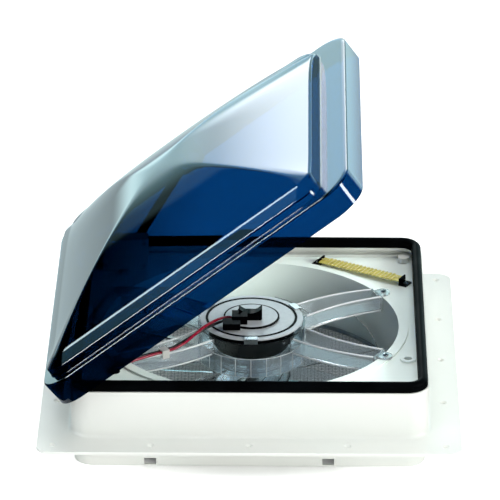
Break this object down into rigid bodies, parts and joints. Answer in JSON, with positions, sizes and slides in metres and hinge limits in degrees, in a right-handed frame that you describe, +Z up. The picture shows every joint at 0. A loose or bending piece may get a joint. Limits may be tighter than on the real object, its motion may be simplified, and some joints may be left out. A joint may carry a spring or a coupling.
{
  "type": "caravan roof vent",
  "caption": "Square caravan roof vent with a hinged smoked dome lid, a rubber seal, a fan on a clear motor bracket and a crank lid lift, fixed by a screw flange.",
  "frame": {"origin": "centre of the roof flange's underside, on the roof plane", "axes": "+Z up out of the roof, +X towards the lid's free side, +Y along the hinge line"},
  "size_m": [0.424, 0.424, 0.3213],
  "materials": {
    "white_frame": "smooth off-white moulding, soft gloss",
    "white_inner": "white moulding, soft gloss",
    "black_rubber": "black foam rubber, satin",
    "smoked_lid": "smoked blue clear plastic, polished",
    "clear_plastic": "clear plastic with a faint blue cast, polished",
    "black_motor": "black paint, satin",
    "motor_plate": "light grey, satin",
    "black_plastic": "black moulding",
    "red_wire": "crimson wire sheath",
    "black_wire": "black wire sheath",
    "white_plastic": "white moulding",
    "gold_card": "olive gold board",
    "resistor_wire": "bright resistance wire",
    "grey_screen": "grey screen",
    "bright_steel": "bright steel",
    "grey_steel": "grey coated steel"
  },
  "bodies": {
    "base": {"base_frame": "white_frame", "lid_seal": "black_rubber", "fan_shroud": "white_inner", "shroud_screws": "bright_steel", "insect_screen_ring": "grey_screen", "insect_screen_net": "grey_screen", "motor_bracket": "clear_plastic", "bracket_screws": "bright_steel", "motor_case": "black_motor", "motor_top_plate": "motor_plate", "plate_ring": "black_plastic", "motor_clips": "bright_steel", "connector_block": "black_plastic", "red_wire": "red_wire", "black_wire": "black_wire", "wire_clip": "white_plastic", "wire_grommet": "black_rubber", "resistor_card": "gold_card", "resistor_winding": "resistor_wire", "resistor_terminals": "black_plastic", "resistor_screws": "bright_steel", "speed_switch": "black_plastic", "switch_screws": "bright_steel", "operator_housing": "white_inner", "operator_cover": "white_inner", "operator_screws": "bright_steel", "base_hinges": "grey_steel", "base_hinge_screws": "bright_steel", "hinge_pins": "bright_steel"},
    "fan": {"fan_blades": "clear_plastic", "motor_shaft": "bright_steel", "fan_clip": "bright_steel"},
    "lid": {"lid": "smoked_lid", "lid_hinges": "grey_steel", "hinge_rivets": "bright_steel", "lift_bracket": "grey_steel"},
    "lift": {"lift_arm": "black_plastic", "lift_shaft": "bright_steel", "worm_wheel": "white_plastic", "arm_roller": "white_plastic"},
    "crank": {"crank_spindle": "bright_steel", "worm": "bright_steel", "crank_knob": "white_plastic"},
    "speed": {"speed_shaft": "bright_steel", "speed_knob": "white_plastic"}
  },
  "joints": [
    {"name": "lid_swing", "type": "hinge", "parent": "base", "child": "lid", "pos_m": [-0.187, 0, 0.045], "axis": [0, -1, 0], "range_deg": [-37.8, 0]},
    {"name": "lift_swing", "type": "hinge", "parent": "base", "child": "lift", "pos_m": [-0.1283, 0.15, 0.06], "axis": [0, -1, 0], "range_deg": [-58.1, 0]},
    {"name": "crank_turn", "type": "hinge", "parent": "base", "child": "crank", "pos_m": [-0.1473, 0.14, 0], "axis": [0, 0, 1], "range_deg": [-1626, 0]},
    {"name": "fan_spin", "type": "hinge", "parent": "base", "child": "fan", "pos_m": [0, 0, 0], "axis": [0, 0, 1], "continuous": true},
    {"name": "speed_turn", "type": "hinge", "parent": "base", "child": "speed", "pos_m": [-0.1473, -0.14, 0], "axis": [0, 0, 1], "range_deg": [0, 135]}
  ],
  "couplings": [
    {"joint": "lift_swing", "follows": "lid_swing", "ratio": 1.5354},
    {"joint": "crank_turn", "follows": "lid_swing", "ratio": 42.991}
  ]
}
